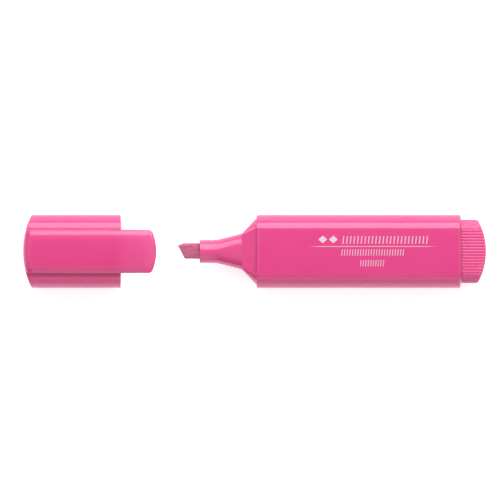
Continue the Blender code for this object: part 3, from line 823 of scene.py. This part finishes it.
def cap_samples():
    """The oval's samples with the panel's profile in place of the middle of the upper face.
    Each is (y, z, normal y, normal z, share of the panel's height)."""
    foot = PANEL_PROFILE[0][0]
    clear = 0.05 * MM
    sides = [s for s in OVAL[: len(OVAL) // 2] if s[0] > foot + clear]
    right = [(*s, 0.0) for s in sides]
    right += [(y, THICKNESS / 2, 0.0, 1.0, share) for y, share in PANEL_PROFILE]
    left = [(-y, z, -ny, nz, share) for y, z, ny, nz, share in reversed(right)]
    upper = right + left
    lower_right = [(*s, 0.0) for s in sides]
    pad = len(PANEL_PROFILE)
    lower_right += [(foot * (1 - (i + 0.5) / pad), THICKNESS / 2, 0.0, 1.0, 0.0) for i in range(pad)]
    lower_left = [(-y, z, -ny, nz, 0.0) for y, z, ny, nz, _ in reversed(lower_right)]
    lower = [(y, -z, ny, -nz, 0.0) for y, z, ny, nz, _ in reversed(lower_right + lower_left)]
    return upper + lower, len(sides)


CAP_SAMPLES, PANEL_START = cap_samples()


def cap_ring(x, inset=0.0, height=PANEL_HEIGHT):
    """A ring of the cap: the oval shrunk by inset, with the panel raised to the given height."""
    place = x if callable(x) else lambda y: x
    ring = []
    for y, z, ny, nz, share in CAP_SAMPLES:
        py = y - inset * ny
        pz = z - inset * nz
        ring.append(Vector((place(py), py, AXIS_Z + pz - crown(py, pz) + share * height)))
    return ring


def make_cap(material):
    """The cap and its clip in one skin: a cup whose closed end is an arc, and the tongue past its mouth."""
    big = END_FILLET + PANEL_HEIGHT

    def end_at(distance):
        return lambda y: CAP_END + distance + sagitta(CAP_ARC, y)

    def end_ring(distance):
        shrink = fillet_drop(END_FILLET, distance)
        height = max(0.02 * MM, PANEL_HEIGHT + shrink - fillet_drop(big, distance))
        return cap_ring(end_at(distance), shrink, height)

    lip = 0.18 * MM
    steps = 16
    distances = [big * (1 - math.cos(math.pi / 2 * i / steps)) for i in range(steps + 1)]
    distances += [END_FILLET * share for share in (0.3, 0.6)]
    rings = [end_ring(d) for d in sorted(distances)]
    rings.append(cap_ring(end_at(big + 0.4 * MM)))
    skirt = CAP_MOUTH - CAP_END
    rings += [cap_ring(CAP_END + skirt * share) for share in (0.25, 0.5, 0.75)]
    rings.append(cap_ring(CAP_MOUTH - lip - 0.3 * MM))
    bm = bmesh.new()
    made = add_rings(bm, rings)
    close_with_strips(bm, made[0])
    outer = made[-1]
    first = PANEL_START + PANEL_UNDER
    last = len(CAP_SAMPLES) // 2 - 1 - first
    for back, shrink in rounding(lip, 4):
        ring = cap_ring(CAP_MOUTH - back, shrink)
        square = cap_ring(CAP_MOUTH - back)
        ring = [square[i] if first <= i <= last else point for i, point in enumerate(ring)]
        row = add_verts(bm, ring)
        bridge(bm, outer, row)
        outer = row
    under_z = PANEL_TOP - TONGUE_THICKNESS
    rim = list(outer)
    for i in range(first + 1, last):
        y = outer[i].co.y
        rim[i] = bm.verts.new((CAP_MOUTH, y, under_z - crown(y, THICKNESS / 2)))
    inner = [cap_ring(CAP_MOUTH, CAP_WALL, 0.0), cap_ring(CAP_MOUTH - 0.2 * MM, CAP_WALL + 0.05 * MM, 0.0)]
    inner.append(cap_ring(end_at(CAP_END_WALL), CAP_WALL + 0.25 * MM, 0.0))
    inner_rows = [add_verts(bm, ring) for ring in inner]
    bridge(bm, rim, inner_rows[0])
    for near, far in zip(inner_rows, inner_rows[1:]):
        bridge(bm, near, far)
    close_with_strips(bm, inner_rows[-1])
    add_tongue(bm, outer[first : last + 1], rim[first : last + 1])
    stands_for = ["cap_shell", "clip_tongue"]
    cap = add_piece("cap_and_clip", bm, material, replaces=stands_for)
    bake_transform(cap)


def tongue_drop(setback):
    """How far the tongue's middle has fallen at a setback from its tip: a long sag, then a round edge."""
    curve = TONGUE_SLOPE / (TONGUE_SAG - TONGUE_EDGE)
    if setback >= TONGUE_EDGE:
        return curve * max(0.0, TONGUE_SAG - setback) ** 2 / 2
    lean = math.atan(TONGUE_SLOPE)
    radius = TONGUE_EDGE / (math.sin(PANEL_TURN) - math.sin(lean))
    turn = math.asin(math.sin(lean) + (TONGUE_EDGE - setback) / radius)
    return curve * (TONGUE_SAG - TONGUE_EDGE) ** 2 / 2 + radius * (math.cos(lean) - math.cos(turn))


def add_tongue(bm, top, under):
    """Carries the panel on past the mouth. Its end is an arc that falls away to a fine edge."""
    corner = 0.9 * MM
    ease = 0.1 * MM
    full = tongue_drop(0.0)
    flat_top = [(vert.co.y, vert.co.z) for vert in top]
    flat_under = [(vert.co.y, vert.co.z) for vert in under]
    setbacks = [(7.0 - i * 0.5) * MM for i in range(12)] + spread(TONGUE_EDGE, 0.0, 10)
    rows = [(setback, 0.0) for setback in setbacks]
    rows += [(ease * 0.6, 0.01 * MM), (ease * 0.15, 0.04 * MM), (0.0, 0.12 * MM)]
    near_top = top
    near_under = under
    for setback, extra in rows:
        sunk = tongue_drop(setback) / full
        scale = 1 - fillet_drop(corner, setback) / PANEL_HALF

        def bent(y):
            return TONGUE_TIP - setback - sagitta(TONGUE_ARC, y)

        row_top = []
        for y, z in flat_top:
            fallen = min(1.0, (PANEL_TOP - crown(y, THICKNESS / 2) - z) / full)
            lowered = full * (1 - (1 - fallen) * (1 - sunk)) + extra
            point = (bent(y * scale), y * scale, PANEL_TOP - crown(y, THICKNESS / 2) - lowered)
            row_top.append(bm.verts.new(point))
        row_under = [row_top[0]]
        row_under += [bm.verts.new((bent(y * scale), y * scale, z)) for y, z in flat_under[1:-1]]
        row_under.append(row_top[-1])
        bridge(bm, near_top, row_top, cyclic=False)
        bridge(bm, near_under, row_under, cyclic=False)
        near_top = row_top
        near_under = row_under
    for i in range(len(near_top) - 1):
        corners = [near_top[i], near_top[i + 1], near_under[i + 1], near_under[i]]
        bm.faces.new(list(dict.fromkeys(corners)))


def make_clip_ridge(material):
    """The ridge under the tongue that grips a pocket. profile is its section in millimetres, and eased
    pairs places along it, in millimetres, with the share of its height that it has there."""
    x = TONGUE_TIP - 3.8 * MM
    top = PANEL_TOP - TONGUE_THICKNESS + 0.1 * MM
    profile = [(0.75, 0.0), (0.62, -0.12), (0.5, -0.5), (0.42, -0.86), (0.34, -0.96), (0.2, -1.0)]
    profile += [(-dx, dz) for dx, dz in reversed(profile)]
    eased = [(5.0, 0.0), (4.9, 0.55), (4.6, 0.9), (4.2, 1.0)]
    bm = bmesh.new()
    loops = []
    for y, size in [(-y, size) for y, size in eased] + eased[::-1]:
        lift = 0.3 * (1 - size)
        loops.append([Vector((x + dx * MM, y * MM, top + (dz * size + lift) * MM)) for dx, dz in profile])
    made = add_rings(bm, loops)
    bm.faces.new(made[0])
    bm.faces.new(made[-1])
    add_piece("clip_ridge", bm, material, "clip")


def make_liner_collar(material):
    """The collar and webs moulded inside the cap's closed end, which grip the liner."""
    radius = (LINER_HIGH.y - LINER_LOW.y) / 2
    start = CAP_END + CAP_END_WALL - 0.3 * MM
    stop = start + 6.5 * MM
    outer = radius + 1.0 * MM
    inner = radius + 0.1 * MM
    round_off = 0.2 * MM
    profile = [(start, outer), (stop - round_off, outer), (stop, outer - round_off)]
    profile += [(stop, inner), (start, inner)]
    rings = [circle_ring(x, r) for x, r in profile]
    bm = bmesh.new()
    add_rings(bm, rings, cyclic=True)
    add_piece("liner_collar", bm, material, "cap")


def make_liner_web(name, material, across, up):
    """One web from the collar out to the cap's wall. across and up say which way it points."""
    radius = (LINER_HIGH.y - LINER_LOW.y) / 2
    half = 0.45 * MM
    near = radius + 0.5 * MM
    far = (WIDTH if across else THICKNESS) / 2 - CAP_WALL + 0.2 * MM
    start = CAP_END + CAP_END_WALL + (sagitta(CAP_ARC, far) if across else 0.0)
    length = 13.0 * MM
    stop = CAP_END + CAP_END_WALL + length
    slope = 1.5 * MM
    profile = [(start, near), (stop - slope, near), (stop, far), (start, far)]
    bm = bmesh.new()
    loops = []
    for side in (-half, half):
        loop = []
        for x, out in profile:
            y = across * out + (side if up else 0.0)
            z = up * out + (side if across else 0.0)
            loop.append(Vector((x, y, AXIS_Z + z)))
        loops.append(loop)
    made = add_rings(bm, loops)
    bm.faces.new(made[0])
    bm.faces.new(made[-1])
    add_piece(name, bm, material, "cap")


def make_liner(material):
    """The sealing liner: a thimble with an eased mouth that meets the nozzle."""
    radius = (LINER_HIGH.y - LINER_LOW.y) / 2
    bore = 4.05 * MM
    ease = 0.35 * MM
    floor = LINER_LOW.x + 1.0 * MM
    profile = [(LINER_LOW.x + back, radius - shrink) for back, shrink in reversed(rounding(ease, 4))]
    profile.append((LINER_HIGH.x - ease - 0.3 * MM, radius))
    profile += [(LINER_HIGH.x - back, radius - shrink) for back, shrink in rounding(ease / 2, 4)]
    profile += [(LINER_HIGH.x - 0.05 * MM, bore + ease), (LINER_HIGH.x - 0.8 * MM, bore)]
    profile.append((floor, bore - 0.15 * MM))
    rings = [circle_ring(x, r) for x, r in profile]
    bm = bmesh.new()
    made = add_rings(bm, rings)
    bm.faces.new(made[0])
    bm.faces.new(made[-1])
    add_piece("sealing_liner", bm, material, "cap", ["inner_cap"])


# ---- Stage ----

def make_floor(material):
    half = 1.5
    bm = bmesh.new()
    corners = ((-half, -half), (half, -half), (half, half), (-half, half))
    bm.faces.new([bm.verts.new((x, y, BARREL_LOW.z - 0.05 * MM)) for x, y in corners])
    mesh = bpy.data.meshes.new("floor")
    bm.to_mesh(mesh)
    bm.free()
    mesh.materials.append(material)
    floor = bpy.data.objects.new("floor", mesh)
    bpy.context.scene.collection.objects.link(floor)


def add_softbox(name, middle, half_angle, distance, length, along, radiance):
    """A long rectangular light beside the pen, its middle at x = along. The angles, in degrees off the
    zenith towards +Y, say where its middle stands and how far it reaches either way."""
    zenith = math.radians(middle)
    width = 2 * distance * math.tan(math.radians(half_angle))
    data = bpy.data.lights.new(name, "AREA")
    data.shape = "RECTANGLE"
    data.size = length
    data.size_y = width
    data.energy = radiance * math.pi * width * length
    light = bpy.data.objects.new(name, data)
    direction = Vector((0.0, math.sin(zenith), math.cos(zenith)))
    light.location = Vector((along, 0.0, AXIS_Z)) + direction * distance
    light.rotation_euler = direction.to_track_quat("Z", "Y").to_euler()
    light.visible_camera = False
    bpy.context.scene.collection.objects.link(light)


def make_world(zenith, sky, shade):
    """A pale surround, darker overhead where the camera looks in, towards -Y, and near the horizon."""
    world = bpy.data.worlds.new("studio")
    world.use_nodes = True
    tree = world.node_tree
    place = tree.nodes.new("ShaderNodeTexCoord").outputs["Generated"]
    direction = tree.nodes.new("ShaderNodeSeparateXYZ")
    tree.links.new(place, direction.inputs[0])
    towards = tree.nodes.new("ShaderNodeVectorMath")
    towards.operation = "DOT_PRODUCT"
    tree.links.new(place, towards.inputs[0])
    lean = math.radians(3)
    towards.inputs[1].default_value = (0.0, -math.sin(lean), math.cos(lean))

    def ramp(value, low, high, to_low, to_high):
        node = tree.nodes.new("ShaderNodeMapRange")
        node.interpolation_type = "SMOOTHSTEP"
        tree.links.new(value, node.inputs["Value"])
        for key, number in zip(("From Min", "From Max", "To Min", "To Max"), (low, high, to_low, to_high)):
            node.inputs[key].default_value = number
        return node.outputs["Result"]

    edge = math.cos(math.radians(17))
    core = math.cos(math.radians(5))
    overhead = ramp(towards.outputs["Value"], edge, core, sky, zenith)
    across = ramp(direction.outputs["Y"], -0.7, -0.1, shade, 1.0)
    low = ramp(direction.outputs["Z"], 0.05, 0.4, 0.35, 1.0)
    strength = overhead
    for factor in (across, low):
        product = tree.nodes.new("ShaderNodeMath")
        product.operation = "MULTIPLY"
        tree.links.new(strength, product.inputs[0])
        tree.links.new(factor, product.inputs[1])
        strength = product.outputs[0]
    tree.links.new(strength, tree.nodes["Background"].inputs["Strength"])
    tree.nodes["Background"].inputs["Color"].default_value = (1.0, 1.0, 1.0, 1.0)
    bpy.context.scene.world = world


def make_camera():
    """A long lens straight above the pen, framed so that the whole width is in view."""
    frame_width = 170.6 * MM
    middle_x = -37.1 * MM
    middle_y = 0.5 * MM
    data = bpy.data.cameras.new("camera")
    data.lens = 1000.0
    data.sensor_width = 36.0
    camera = bpy.data.objects.new("camera", data)
    height = frame_width * data.lens / data.sensor_width
    camera.location = (middle_x, middle_y, AXIS_Z + height)
    data.clip_start = 0.01
    data.clip_end = 20.0
    bpy.context.scene.collection.objects.link(camera)
    bpy.context.scene.camera = camera


def dress_hidden_nodes(fibre, film):
    """The reservoir's parts keep their CAD shapes and get finished materials."""
    for node, material in (("reservoir_core", fibre), ("reservoir_wrap", film), ("breather_tube", film)):
        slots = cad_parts[node].data.materials
        slots.clear()
        slots.append(material)


def main():
    root = FRONT_LOW.x + NOZZLE_LENGTH
    plastic = moulded_plastic("pink_moulding")
    plug_plastic = moulded_plastic("plug_moulding", gloss=0.28)
    # The nozzle and the cap get painted light: paler towards the nozzle's mouth and along the clip's
    # tongue.
    nozzle_plastic = moulded_plastic("nozzle_moulding", painted_through_light=(root, root - 3 * MM, 0.16))
    cap_plastic = moulded_plastic("cap_moulding", painted_through_light=(CAP_MOUTH - 2 * MM, CAP_MOUTH + 3 * MM, 0.12))
    nib_felt = felt("nib_felt", FELT_PALE, FELT, FELT_DARK)
    film = milky_plastic("milky_plastic")
    ink = printed_ink("white_print")

    make_barrel(plastic)
    make_front_section(nozzle_plastic)
    make_end_plug(plug_plastic)
    make_nib(nib_felt)
    make_print(ink)
    make_cap(cap_plastic)
    make_clip_ridge(cap_plastic)
    make_liner_collar(plastic)
    for name, across, up in (("left", -1, 0), ("right", 1, 0), ("lower", 0, -1), ("upper", 0, 1)):
        make_liner_web(f"liner_web_{name}", plastic, across, up)
    make_liner(film)
    dress_hidden_nodes(felt("reservoir_fibre", PINK_PALE, PINK, PINK_DEEP), film)

    make_floor(lit_floor("floor_paper"))
    add_softbox("key_softbox", 50.5, 29.5, distance=0.5, length=0.94, along=0.05, radiance=3.15)
    add_softbox("fill_reflector", -67.0, 23.0, distance=0.4, length=0.6, along=0.1, radiance=0.8)
    make_world(zenith=0.35, sky=0.9, shade=0.5)
    make_camera()
    bpy.context.scene.view_settings.view_transform = "Standard"


main()
